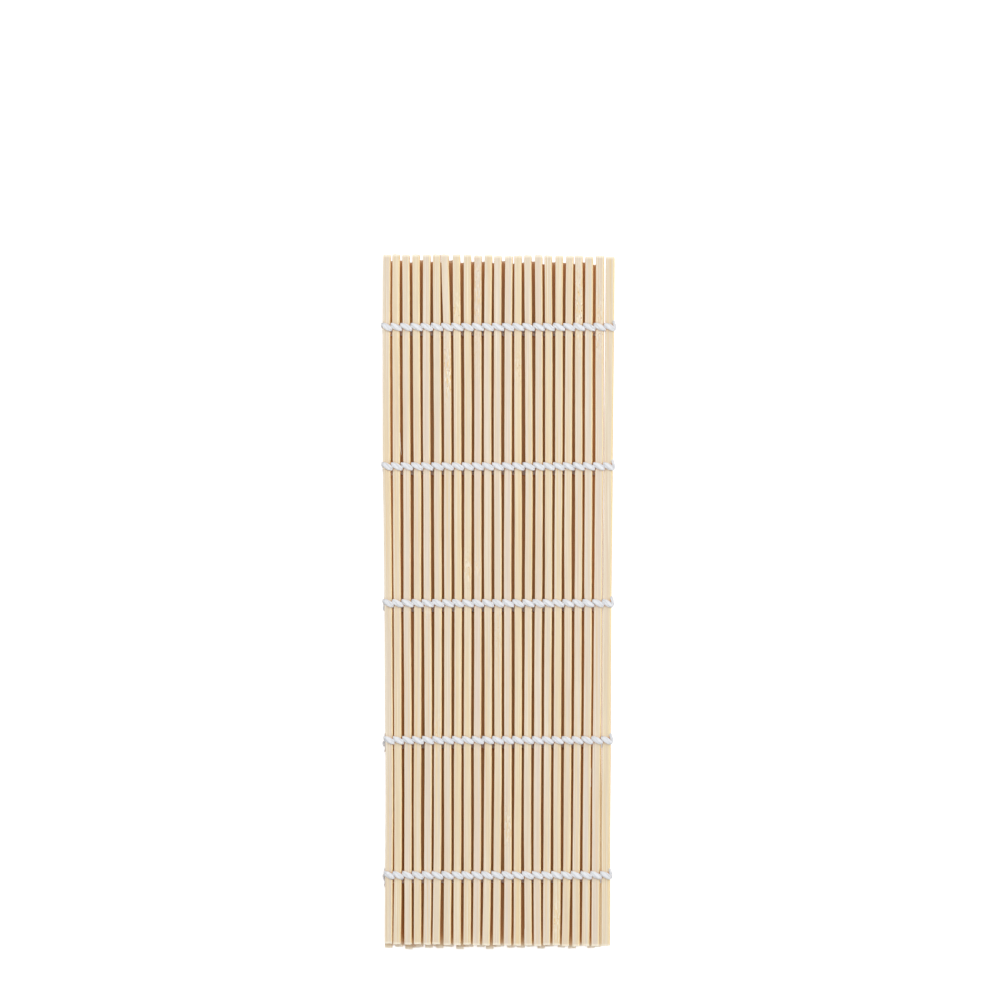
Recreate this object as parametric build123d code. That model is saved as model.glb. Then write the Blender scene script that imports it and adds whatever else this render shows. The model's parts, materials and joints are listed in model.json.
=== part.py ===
from build123d import *
import math
import os

# Bamboo rolling mat, folded in three as it is sold and stored.
# X runs across the slats, Y along them, Z up. The mat lies on Z = 0, and the origin is
# the middle of the space that it fills, at the bottom. All lengths are in millimetres.

# Slats
slat_length = 240.0
slat_width = 2.8
slat_thickness = 1.8
slat_gap = 0.72
slat_bevel = 0.32
end_scatter = 0.45

# How many slats each third of the mat has
top_count = 23
middle_count = 21
bottom_count = 21

# How many slats move as one link. The link beside the bottom fold is longer, because
# the top third's free edge lies over it when only the bottom third is unfolded.
slats_per_link = 2
slats_at_top_fold = 1
slats_at_bottom_fold = 3

# Rows of twined cord, which lie a little to one side of the middle of the slats
row_count = 5
row_spacing = 47.55
row_shift = -0.5
strand_thickness = 1.1
strand_reach = 0.95
strand_side_clearance = 0.3
crown_share = 0.56

# Clearances of the cords
seat_clearance = 0.05
gap_play = 0.1
hinge_clearance = 0.2
layer_clearance = 0.25

# Where the cord bends over a slat's edge at a hinge
shoulder_setback = 0.2

# The free edges: the cord goes round the first slat and is knotted at the last
edge_wrap = 0.6
knot_width = 2.6
knot_length = 3.4
knot_height = 2.6
knot_flat_share = 0.55

# The folds: how far each layer laps past the one below it, and how far the
# three thirds have slipped along the slats
fold_lap = 1.2
top_slip = 0.95
middle_slip = -0.75
bottom_slip = -0.6

# How the scattered slat ends vary from slat to slat, in radians per slat
scatter_step = 2.4
length_step = 1.7

# Limits of the hinges, in degrees: a fold opens to just short of flat
fold_angle = 179.5
curl_angle = 26.0
curl_pivot_height = 0.35

# What follows from those sizes
pitch = slat_width + slat_gap
strand_width = 2 * strand_reach - strand_side_clearance
crown_width = strand_width * crown_share
strand_inner = slat_thickness / 2 + seat_clearance
strand_outer = strand_inner + strand_thickness
half_in_gap = slat_gap / 2 - gap_play
dive_end_height = slat_thickness / 2 - slat_bevel
layer_rise = 2 * strand_outer + layer_clearance
fold_pivot_height = layer_rise / 2

FRONT = 1
BACK = -1


def row_places():
    """The Y of every row of cord."""
    middle_row = (row_count - 1) / 2
    return [(row - middle_row) * row_spacing + row_shift for row in range(row_count)]


def make_slat(index):
    """One slat with broken edges, its ends as uneven as hand-cut ones."""
    length = slat_length - end_scatter * (1 + math.sin(length_step * index)) / 2
    blank = Box(slat_width, length, slat_thickness)
    return chamfer(blank.edges().filter_by(Axis.Y), slat_bevel)


def slat_end_shift(index):
    """How far a slat sits off the middle of the mat, along its length."""
    return end_scatter * math.sin(scatter_step * index)


def section(outer, inner, y):
    """One four-sided section of a strand: its narrow crown side and its wide seat side.

    outer and inner are the X and Z of the two sides.
    """
    crown = [Vector(outer[0], y - crown_width / 2, outer[1]), Vector(outer[0], y + crown_width / 2, outer[1])]
    seat = [Vector(inner[0], y + strand_width / 2, inner[1]), Vector(inner[0], y - strand_width / 2, inner[1])]
    return crown + seat


def turned(points):
    """The same section with its two sides told the other way round."""
    return [points[3], points[2], points[1], points[0]]


def along_strand(points, side):
    """Puts a section in the order that the whole tube keeps, on the front or the back."""
    return points if side == FRONT else turned(points)


def hinge_end(edge, side, hand):
    """A strand that bends over a slat's edge and dives into its own half of the gap.

    edge is the X of the middle of the gap. hand is 1 at a slat's left edge and -1 at its right one.
    The sections are told from the end of the strand towards the slat.
    """
    y = side * hand * strand_reach
    near = edge + hand * hinge_clearance / 2
    far = edge + hand * (slat_gap / 2 - seat_clearance)
    shoulder = edge + hand * (slat_gap / 2 + shoulder_setback)
    broken_edge = edge + hand * (slat_gap / 2 + slat_bevel)
    tip = section((near, side * dive_end_height), (far, side * dive_end_height), y)
    bend = section((shoulder, side * strand_outer), (broken_edge, side * strand_inner), y)
    return [along_strand(tip, side), along_strand(bend, side)]


def crossing(edge, side):
    """A strand that goes through the gap, from one face of the mat to the other."""
    y = -side * strand_reach
    before = section(
        (edge + half_in_gap, side * strand_outer), (edge - half_in_gap, side * strand_inner), y
    )
    after = section(
        (edge - half_in_gap, -side * strand_outer), (edge + half_in_gap, -side * strand_inner), y
    )
    return [along_strand(before, side), along_strand(after, -side)]


def strand_sections(slat_places, side, right_end=True):
    """The sections of one cord from left to right, first on the given side of the mat.

    Without its right end the cord stops at the right corner of the last slat.
    """
    sections = hinge_end(slat_places[0] - pitch / 2, side, 1)
    for place in slat_places[:-1]:
        sections += crossing(place + pitch / 2, side)
        side = -side
    if right_end:
        sections += reversed(hinge_end(slat_places[-1] + pitch / 2, side, -1))
    return sections


def wrapped_sections(slat_places):
    """A doubled cord: out along one strand, round the last slat's outer edge and back."""
    last_side = FRONT if len(slat_places) % 2 else BACK
    seat = slat_places[-1] + slat_width / 2 + seat_clearance
    out = strand_sections(slat_places, FRONT, right_end=False)
    back = strand_sections(slat_places, BACK, right_end=False)
    turns = []
    for side in (last_side, -last_side):
        corner = section((seat + edge_wrap, side * strand_outer), (seat, side * strand_inner), -side * strand_reach)
        turns.append(along_strand(corner, last_side))
    return out + turns + [turned(points) for points in reversed(back)]


def flat_face(*points):
    """A flat face with these corners."""
    return Face(Wire.make_polygon(points, close=True))


def make_cord(sections):
    """An unbroken cord: flat facets from each four-sided section to the next, closed at both ends.

    Its crown and its seat are flat, and each slanting side is two flat facets.
    """
    facets = [flat_face(*sections[0]), flat_face(*reversed(sections[-1]))]
    for here, there in zip(sections[:-1], sections[1:]):
        for corner, following in ((0, 1), (2, 3)):
            facets.append(flat_face(here[following], here[corner], there[corner], there[following]))
        for corner, following in ((1, 2), (3, 0)):
            facets.append(flat_face(here[following], here[corner], there[corner]))
            facets.append(flat_face(here[following], there[corner], there[following]))
    return Solid(Shell(facets))


def make_knot():
    """The knot in which a row's two cords end, as a small faceted barrel."""
    waist = RegularPolygon(knot_width / 2, 6)
    tip = scale(waist, by=knot_flat_share)
    half = knot_length / 2
    outlines = [Plane.XZ.offset(-half) * tip, Plane.XZ * waist, Plane.XZ.offset(half) * tip]
    barrel = loft(outlines, ruled=True)
    return scale(barrel, by=(1, 1, knot_height / knot_width))


def middle_of_layer(layer):
    """The X of the first slat and the Z of the slats, for layers 0, 1 and 2 from the bottom."""
    middle_first = -(middle_count - 1) * pitch / 2
    middle_last = -middle_first
    height = strand_outer + layer * layer_rise
    if layer == 2:
        return middle_first - fold_lap, height
    if layer == 1:
        return middle_first, height
    return middle_last + fold_lap - (bottom_count - 1) * pitch, height


def links(count, at_fold):
    """Splits the slats of a folded third into the link at the fold and the links after it."""
    starts = range(at_fold, count, slats_per_link)
    after = [list(range(start, min(start + slats_per_link, count))) for start in starts]
    return [list(range(at_fold))] + after


def link_bodies():
    """Every rigid link of the mat: its name, its slats' X, their numbers, Z, Y slip and free edge."""
    found = []
    first, height = middle_of_layer(1)
    places = [first + index * pitch for index in range(middle_count)]
    found.append(("middle", places, list(range(middle_count)), height, middle_slip, None))
    first, height = middle_of_layer(2)
    top_links = links(top_count, slats_at_top_fold)
    for number, members in enumerate(top_links, start=1):
        places = [first + index * pitch for index in members]
        free = "wrapped" if number == len(top_links) else None
        numbers = [middle_count + index for index in members]
        found.append((f"top_{number:02d}", places, numbers, height, top_slip, free))
    first, height = middle_of_layer(0)
    bottom_links = links(bottom_count, slats_at_bottom_fold)
    for number, members in enumerate(bottom_links, start=1):
        places = [first + (bottom_count - 1 - index) * pitch for index in reversed(members)]
        free = "knotted" if number == len(bottom_links) else None
        numbers = [middle_count + top_count + index for index in reversed(members)]
        found.append((f"bottom_{number:02d}", places, numbers, height, bottom_slip, free))
    return found


def node_name(body, what):
    """The name of a body's slats or cords, such as top_slats_03 or middle_cords."""
    third, _, number = body.partition("_")
    return f"{third}_{what}_{number}" if number else f"{third}_{what}"


def make_slats(places, numbers, height, slip):
    """All slats of one link."""
    slats = []
    for place, number in zip(places, numbers):
        slats.append(Pos(place, slip + slat_end_shift(number), height) * make_slat(number))
    return slats


def make_cords(places, height, slip, free):
    """All cords of one link, in every row."""
    if free == "wrapped":
        shapes = [make_cord(wrapped_sections(places))]
    else:
        shapes = [make_cord(strand_sections(places, side)) for side in (FRONT, BACK)]
    return [Pos(0, slip + row, height) * shape for row in row_places() for shape in shapes]


def make_knots(places, height, slip):
    """The knots at the free edge of the bottom third, one at each row."""
    beside = places[0] - slat_width / 2 - slat_gap / 2 + hinge_clearance / 2 - seat_clearance - knot_width / 2
    knot = make_knot()
    return [Pos(beside, slip + row, height) * knot for row in row_places()]


def build_mat():
    """Every node of the mat, with its solids in their places, and the move that centres them."""
    nodes = {}
    for body, places, numbers, height, slip, free in link_bodies():
        nodes[node_name(body, "slats")] = make_slats(places, numbers, height, slip)
        nodes[node_name(body, "cords")] = make_cords(places, height, slip, free)
        if free == "knotted":
            nodes["edge_knots"] = make_knots(places, height, slip)
    boxes = [solid.bounding_box() for solids in nodes.values() for solid in solids]
    low = Vector(min(box.min.X for box in boxes), min(box.min.Y for box in boxes), min(box.min.Z for box in boxes))
    high = Vector(max(box.max.X for box in boxes), max(box.max.Y for box in boxes), low.Z)
    centring = Pos(*(-(low + high) / 2))
    placed = {}
    for name, solids in nodes.items():
        placed[name] = Compound(children=[centring * solid for solid in solids])
    return placed, centring


mat_nodes, mat_centring = build_mat()
os.makedirs("parts", exist_ok=True)
for name, shape in mat_nodes.items():
    export_step(shape, f"parts/{name}.step")
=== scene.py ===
"""Bamboo rolling mat, folded in three and seen from straight above.

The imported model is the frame. Every body gets its slats of split bamboo and its rows of
twined cotton cord, and the cords run on unbroken round both folds.
"""
import json
import logging
import math
import random
from dataclasses import dataclass, field
from enum import Enum

import bmesh
import bpy
import numpy as np
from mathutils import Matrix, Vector

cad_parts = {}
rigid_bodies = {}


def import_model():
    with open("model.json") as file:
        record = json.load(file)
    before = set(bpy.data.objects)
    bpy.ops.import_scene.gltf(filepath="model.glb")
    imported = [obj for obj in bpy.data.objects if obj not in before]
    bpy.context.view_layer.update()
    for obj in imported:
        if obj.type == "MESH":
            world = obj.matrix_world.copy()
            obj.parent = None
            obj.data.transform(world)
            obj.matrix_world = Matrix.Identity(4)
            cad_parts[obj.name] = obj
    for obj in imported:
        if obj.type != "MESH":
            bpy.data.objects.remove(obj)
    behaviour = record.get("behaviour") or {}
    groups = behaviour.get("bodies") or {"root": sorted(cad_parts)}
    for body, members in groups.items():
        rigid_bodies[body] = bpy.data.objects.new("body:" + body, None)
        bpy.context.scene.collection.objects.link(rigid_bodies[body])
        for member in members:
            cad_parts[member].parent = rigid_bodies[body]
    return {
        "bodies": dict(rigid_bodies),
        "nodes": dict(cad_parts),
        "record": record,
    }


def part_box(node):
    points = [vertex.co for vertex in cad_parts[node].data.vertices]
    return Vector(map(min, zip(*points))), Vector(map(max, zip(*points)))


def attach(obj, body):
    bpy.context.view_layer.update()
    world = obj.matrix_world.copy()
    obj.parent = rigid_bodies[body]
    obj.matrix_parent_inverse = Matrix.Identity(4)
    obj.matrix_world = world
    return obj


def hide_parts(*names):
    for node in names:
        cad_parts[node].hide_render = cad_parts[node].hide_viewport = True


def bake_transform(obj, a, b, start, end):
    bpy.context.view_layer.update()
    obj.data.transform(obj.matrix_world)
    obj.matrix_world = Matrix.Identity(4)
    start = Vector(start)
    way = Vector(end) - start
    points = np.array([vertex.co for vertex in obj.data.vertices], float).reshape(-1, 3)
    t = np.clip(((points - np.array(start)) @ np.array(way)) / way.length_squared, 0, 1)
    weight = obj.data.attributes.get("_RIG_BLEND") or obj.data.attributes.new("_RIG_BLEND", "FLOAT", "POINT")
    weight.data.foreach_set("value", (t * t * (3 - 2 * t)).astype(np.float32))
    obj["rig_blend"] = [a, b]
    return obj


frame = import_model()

logging.basicConfig(level=logging.INFO, format="%(message)s")
log = logging.getLogger("rolling mat")

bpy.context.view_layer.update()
HUNDREDTH = 0.00001
NodeInput = float | tuple | bpy.types.NodeSocket


class Face(Enum):
    """The two faces of a layer of slats."""

    UPPER = 1
    LOWER = -1

    def other(self) -> "Face":
        """The opposite face."""
        return Face.LOWER if self is Face.UPPER else Face.UPPER


class Third(Enum):
    """The thirds of the mat, by the first word of their bodies' names."""

    TOP = "top"
    MIDDLE = "middle"
    BOTTOM = "bottom"


def smoothstep(low: float, high: float, value: float) -> float:
    """A smooth rise from 0 at low to 1 at high."""
    share = min(max((value - low) / (high - low), 0.0), 1.0)
    return share * share * (3 - 2 * share)


def travelled(line: np.ndarray) -> np.ndarray:
    """The length of a line up to each of its points."""
    return np.concatenate([[0], np.cumsum(np.linalg.norm(np.diff(line, axis=0), axis=1))])


def bow_through(heights: tuple, offsets: tuple) -> np.ndarray:
    """The cubic in Y nearest to a slat's offsets, in hundredths of a millimetre, at some heights."""
    return np.polyfit(heights, np.array(offsets) * HUNDREDTH, 3)


def link_object(name: str, mesh: bpy.types.Mesh) -> bpy.types.Object:
    """Puts a finished mesh in the scene at the origin.

    Args:
        name: the piece's name.
        mesh: its mesh, in the row frame.

    Returns:
        The new object.
    """
    piece = bpy.data.objects.new(name, mesh)
    bpy.context.scene.collection.objects.link(piece)
    return piece


def mesh_from(shape: bmesh.types.BMesh, name: str) -> bpy.types.Mesh:
    """Turns a bmesh into a smooth-shaded mesh and frees it.

    Args:
        shape: the bmesh.
        name: the mesh's name.

    Returns:
        The new mesh.
    """
    bmesh.ops.recalc_face_normals(shape, faces=shape.faces)
    mesh = bpy.data.meshes.new(name)
    shape.to_mesh(mesh)
    shape.free()
    mesh.shade_smooth()
    return mesh


class NodeBoard:
    """A material's node tree, with short calls to add and wire its nodes."""

    noise_roughness = 0.6
    crevice_reach = 0.012
    crevice_samples = 8

    def __init__(self, name: str) -> None:
        """Starts a material with an output node alone.

        Args:
            name: the material's name.
        """
        self.material = bpy.data.materials.new(name)
        self.material.use_nodes = True
        self.tree = self.material.node_tree
        self.tree.nodes.clear()
        self.output = self.tree.nodes.new("ShaderNodeOutputMaterial")

    def add(self, kind: str, inputs: dict | None = None, **settings: object) -> bpy.types.Node:
        """Adds one node.

        Args:
            kind: the node's type without its ShaderNode prefix.
            inputs: socket name or number to a value, or to the socket that feeds it.
            settings: the node's own settings.

        Returns:
            The new node.
        """
        node = self.tree.nodes.new("ShaderNode" + kind)
        for name, value in settings.items():
            setattr(node, name, value)
        for socket, value in (inputs or {}).items():
            if isinstance(value, bpy.types.NodeSocket):
                self.tree.links.new(value, node.inputs[socket])
            else:
                node.inputs[socket].default_value = value
        return node

    def math(self, operation: str, *values: NodeInput) -> bpy.types.NodeSocket:
        """A maths node's result, clamped to 0 and 1."""
        node = self.add("Math", dict(enumerate(values)), operation=operation, use_clamp=True)
        return node.outputs[0]

    def mix(self, share: NodeInput, first: NodeInput, second: NodeInput) -> bpy.types.NodeSocket:
        """A mix of two colours; share is a number or a socket."""
        node = self.add("Mix", {0: share, 6: first, 7: second}, data_type="RGBA", blend_type="MIX")
        return node.outputs[2]

    def attribute(self, name: str) -> bpy.types.NodeSocket:
        """A number that the mesh carries at its points."""
        return self.add("Attribute", attribute_name=name).outputs["Fac"]

    def noise(self, stretch: tuple, coordinates: str = "Object", detail: float = 3.0) -> bpy.types.NodeSocket:
        """Noise in stretched coordinates.

        Args:
            stretch: its repeats per metre, or per UV unit, along each axis.
            coordinates: the output of the Texture Coordinate node that it reads.
            detail: how many finer layers it has.

        Returns:
            The socket of its value.
        """
        source = self.add("TexCoord").outputs[coordinates]
        mapped = self.add("Mapping", {"Vector": source, "Scale": stretch})
        inputs = {"Vector": mapped.outputs[0], "Scale": 1.0, "Detail": detail}
        return self.add("TexNoise", {**inputs, "Roughness": self.noise_roughness}).outputs["Fac"]

    def ramp(self, share: NodeInput, low: float, high: float) -> bpy.types.NodeSocket:
        """Share remapped so that low gives 0 and high gives 1."""
        node = self.add("MapRange", {0: share, 1: low, 2: high, 3: 0.0, 4: 1.0}, clamp=True)
        return node.outputs[0]

    def paint_crevice_shade(self, colour: NodeInput, shut: tuple, shade: tuple) -> bpy.types.NodeSocket:
        """Paints shade into deep crevices: a dark warm tint where the surface is shut in, standing for light
        dimmed and warmed by the bamboo all round.

        Args:
            colour: the socket of the colour so far.
            shut: how open a place is where the tint sets in, and where it is full.
            shade: the colour of the painted shade.

        Returns:
            The socket of the tinted colour.
        """
        # Painted shade: ambient occlusion measures how shut in a place is, and the colour moves towards the
        # shade there.
        around = self.add("AmbientOcclusion", {"Distance": self.crevice_reach}, samples=self.crevice_samples)
        return self.mix(self.ramp(around.outputs["AO"], *shut), colour, shade)

    def surface(self, colour: NodeInput, roughness: NodeInput, height: NodeInput, depth: float,
                **fixed: float) -> bpy.types.Material:
        """Ends the tree with a principled shader.

        Args:
            colour: the socket of the base colour.
            roughness: a number or a socket.
            height: the socket of the bump's height.
            depth: the bump's distance in metres.
            fixed: names of shader sockets, with underscores for spaces, and their numbers.

        Returns:
            The finished material.
        """
        bump = self.add("Bump", {"Height": height, "Distance": depth, "Strength": 1.0})
        inputs = {"Base Color": colour, "Roughness": roughness, "Normal": bump.outputs[0]}
        inputs.update({name.replace("_", " "): value for name, value in fixed.items()})
        shader = self.add("BsdfPrincipled", inputs)
        self.tree.links.new(shader.outputs[0], self.output.inputs["Surface"])
        return self.material


@dataclass(frozen=True)
class Coat:
    """One colour that lies over the ones before it.

    shade names the finish's colour, and noise its pattern, which goes from none at low to full
    at high. amount is how strong the coat is, or where names the slats' own attribute for that.
    """

    shade: str
    noise: str = ""
    low: float = 0.0
    high: float = 1.0
    amount: float = 1.0
    where: str = ""


@dataclass(frozen=True)
class BambooFinish:
    """Split bamboo, planed and left bare: cream fronts with painted highlights along their edges,
    warm sides that are partly painted shade, backs, pale ends that are partly painted highlight,
    and painted shade in deep crevices.

    patterns holds each noise's name, its repeats per metre and its detail. The coats lie on a
    ground between face and straw, the first one lowest. A range is where its pattern is none
    and where it is full, and roughness_spread how far the fibre takes the roughness either way.
    """

    face: tuple = (0.705, 0.645, 0.56, 1)
    straw: tuple = (0.77, 0.64, 0.41, 1)
    pink: tuple = (0.72, 0.61, 0.52, 1)
    # The two rim colours are painted highlights along the slats' right and left edges, where the rounded
    # corners catch the light; the paler one is also the wood's own pale streaks, bare patches at nodes and
    # splinters.
    rim_highlight: tuple = (0.97, 0.84, 0.48, 1)
    pale_wood_and_highlight: tuple = (0.90, 0.83, 0.68, 1)
    # The side colour is partly the split sides' own warmer wood and partly painted shade for the deep gaps
    # between the slats.
    side: tuple = (0.76, 0.45, 0.17, 1)
    back: tuple = (0.73, 0.57, 0.36, 1)
    # Painted shade: the deep warm brown of the gaps between slats and of the layers under the top third.
    crevice_shade: tuple = (0.69, 0.315, 0.095, 1)
    gold: tuple = (0.80, 0.55, 0.22, 1)
    fleck: tuple = (0.50, 0.24, 0.06, 1)
    # The end colour is partly the paler cut wood and partly painted highlight where the rounded ends catch
    # the light.
    pale_end_and_highlight: tuple = (1.0, 0.94, 0.79, 1)
    roughness: float = 0.52
    roughness_spread: tuple = (-0.12, 0.14)
    grain_depth: float = 0.00005
    grain_shares: tuple = (0.6, 0.4)
    tone_range: tuple = (0.25, 0.95)
    crevice_shade_range: tuple = (0.56, 0.28)
    fine_range: tuple = (0.62, 0.28)
    fine_share: float = 0.22
    specular: float = 0.35
    patterns: tuple = (
        ("fibre", (4200, 34, 4200), 4.0), ("streak", (1300, 9, 1300), 3.0), ("line", (3100, 14, 3100), 2.0),
        ("patch", (240, 26, 240), 3.0), ("fleck", (2400, 330, 2400), 1.5), ("bare", (1900, 420, 1900), 1.0),
        ("dot", (1900, 1100, 1900), 0.0),
    )
    coats: tuple = (
        Coat("straw", "streak", 0.50, 0.64, 0.9), Coat("pink", "streak", 0.46, 0.32, 0.8),
        Coat("gold", "line", 0.55, 0.68, 0.55), Coat("pale_wood_and_highlight", "line", 0.45, 0.32, 0.7),
        # The rim coats on the next two lines are painted highlights along the right and left edges of the
        # slats' faces.
        Coat("pink", "patch", 0.25, 0.7, where="pink"), Coat("rim_highlight", "streak", 0.95, 0.45, where="rim_highlight"),
        Coat("pale_wood_and_highlight", "streak", 0.95, 0.45, where="pale_wood_and_highlight"), Coat("back", where="back"),
        Coat("pale_wood_and_highlight", "bare", 0.52, 0.60, where="node"), Coat("gold", "fleck", 0.53, 0.62, where="node"),
        # The side coat on the next line is partly the sides' own colour and partly painted shade.
        Coat("fleck", "dot", 0.73, 0.78, where="node"), Coat("side", where="side"),
        # The end coat on the next line is partly pale cut wood and partly painted highlight.
        Coat("pale_end_and_highlight", where="cut"),
    )

    def material(self) -> bpy.types.Material:
        """Mixes the bamboo, whose coats read the slats' own attributes.

        Returns:
            The material.
        """
        board = NodeBoard("split bamboo")
        noise = {name: board.noise(stretch, detail=detail) for name, stretch, detail in self.patterns}
        colour = board.mix(board.ramp(board.attribute("tone"), *self.tone_range), self.face, self.straw)
        for coat in self.coats:
            share = board.attribute(coat.where) if coat.where else coat.amount
            if coat.noise:
                share = board.math("MULTIPLY", board.ramp(noise[coat.noise], coat.low, coat.high), share)
            colour = board.mix(share, colour, getattr(self, coat.shade))
        # Painted shade in the gaps between the slats and between the folded layers.
        colour = board.paint_crevice_shade(colour, self.crevice_shade_range, self.crevice_shade)
        fine = board.math("MULTIPLY", board.ramp(noise["fibre"], *self.fine_range), self.fine_share)
        colour = board.mix(fine, colour, self.fleck)
        fibres, streaks = (board.math("MULTIPLY", noise[name], share)
                           for name, share in zip(("fibre", "streak"), self.grain_shares))
        smooth, coarse = (self.roughness + change for change in self.roughness_spread)
        rough = board.add("MapRange", {0: noise["fibre"], 1: 0.0, 2: 1.0, 3: smooth, 4: coarse})
        height = board.math("ADD", fibres, streaks)
        return board.surface(
            colour, rough.outputs[0], height, self.grain_depth, Specular_IOR_Level=self.specular
        )


@dataclass(frozen=True)
class CottonFinish:
    """White laid cotton cord, with painted cool shade in the creases between its plies and painted warm shade
    where it lies shut in.

    yarn_size is in repeats per unit of the cord's UV map, fuzz_size in repeats per metre, and
    a range is where its pattern is none and where it is full. sheen is a weight and a roughness.
    """

    ply: tuple = (0.80, 0.81, 0.84, 1)
    # The shade colour is painted shade in the creases between the plies; it also darkens the yarn lines.
    shade: tuple = (0.60, 0.62, 0.645, 1)
    # Painted warm shade on cords that lie shut in between the folded layers.
    crevice_shade: tuple = (0.95, 0.72, 0.56, 1)
    roughness: float = 0.85
    yarn_depth: float = 0.00012
    yarn_size: tuple = (30, 3.0, 1)
    fuzz_size: tuple = (9000, 9000, 9000)
    height_shares: tuple = (0.8, 0.2)
    crease_share: float = 0.6
    line_range: tuple = (0.58, 0.38)
    line_share: float = 0.35
    crevice_shade_range: tuple = (0.35, 0.15)
    sheen: tuple = (0.25, 0.5)
    specular: float = 0.15

    def material(self) -> bpy.types.Material:
        """Mixes the cotton, with yarns that follow each cord's own UV map.

        Returns:
            The material.
        """
        board = NodeBoard("cotton cord")
        yarn = board.noise(self.yarn_size, "UV", detail=2.0)
        fuzz = board.noise(self.fuzz_size)
        # Painted shade: the cord turns grey along the creases between its plies.
        shade = board.math("MULTIPLY", board.attribute("crease"), self.crease_share)
        lines = board.math("MULTIPLY", board.ramp(yarn, *self.line_range), self.line_share)
        colour = board.mix(board.math("ADD", shade, lines), self.ply, self.shade)
        # Painted shade: warmer where the cord is shut in.
        colour = board.paint_crevice_shade(colour, self.crevice_shade_range, self.crevice_shade)
        yarns, fibres = (board.math("MULTIPLY", *pair) for pair in zip((yarn, fuzz), self.height_shares))
        return board.surface(
            colour, self.roughness, board.math("ADD", yarns, fibres), self.yarn_depth,
            Specular_IOR_Level=self.specular, Sheen_Weight=self.sheen[0], Sheen_Roughness=self.sheen[1],
        )


@dataclass(frozen=True)
class Blemish:
    """A bamboo node or a flecked stretch of one slat.

    slat counts from the top third's fold; place and reach are along the slat, in metres from
    its middle; strength is the share of flecks.
    """

    slat: int
    place: float
    reach: float
    strength: float


@dataclass(frozen=True)
class Sliver:
    """A splinter that has peeled off a slat's edge at one end.

    slat counts from the top third's fold; root and reach are along the slat; side is 1 for
    its right edge or -1; spread is how far the free end stands off. All in metres.
    """

    slat: int
    root: float
    reach: float
    side: int
    spread: float


@dataclass
class Slat:
    """One slat: its box in the frame, and how it strays from straight.

    bow is the polynomial in Y of the way that its middle line strays sideways, lean how far its
    +Y end goes sideways on top of that, and trim how much its -Y and +Y ends are cut short.
    width is a share of its CAD width. tone and pink are how straw-coloured and how pink it is,
    from 0 to 1, and number is what its random numbers start from.
    """

    low: Vector
    high: Vector
    number: int
    third: Third
    bow: tuple = (0.0,)
    lean: float = 0.0
    trim: tuple = (0.0, 0.0)
    width: float = 1.0
    tone: float = 0.5
    pink: float = 0.0
    blemishes: list = field(default_factory=list)
    slivers: list = field(default_factory=list)

    @property
    def front(self) -> int:
        """1 if the mat's front is the slat's upper face when folded, or -1."""
        return -1 if self.third is Third.MIDDLE else 1

    @property
    def middle(self) -> Vector:
        """The middle of the slat's box."""
        return (self.low + self.high) / 2

    def place_at(self, y: float) -> float:
        """The X of the slat's middle line at a Y."""
        return self.middle.x + float(np.polyval(self.bow, y))


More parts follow.
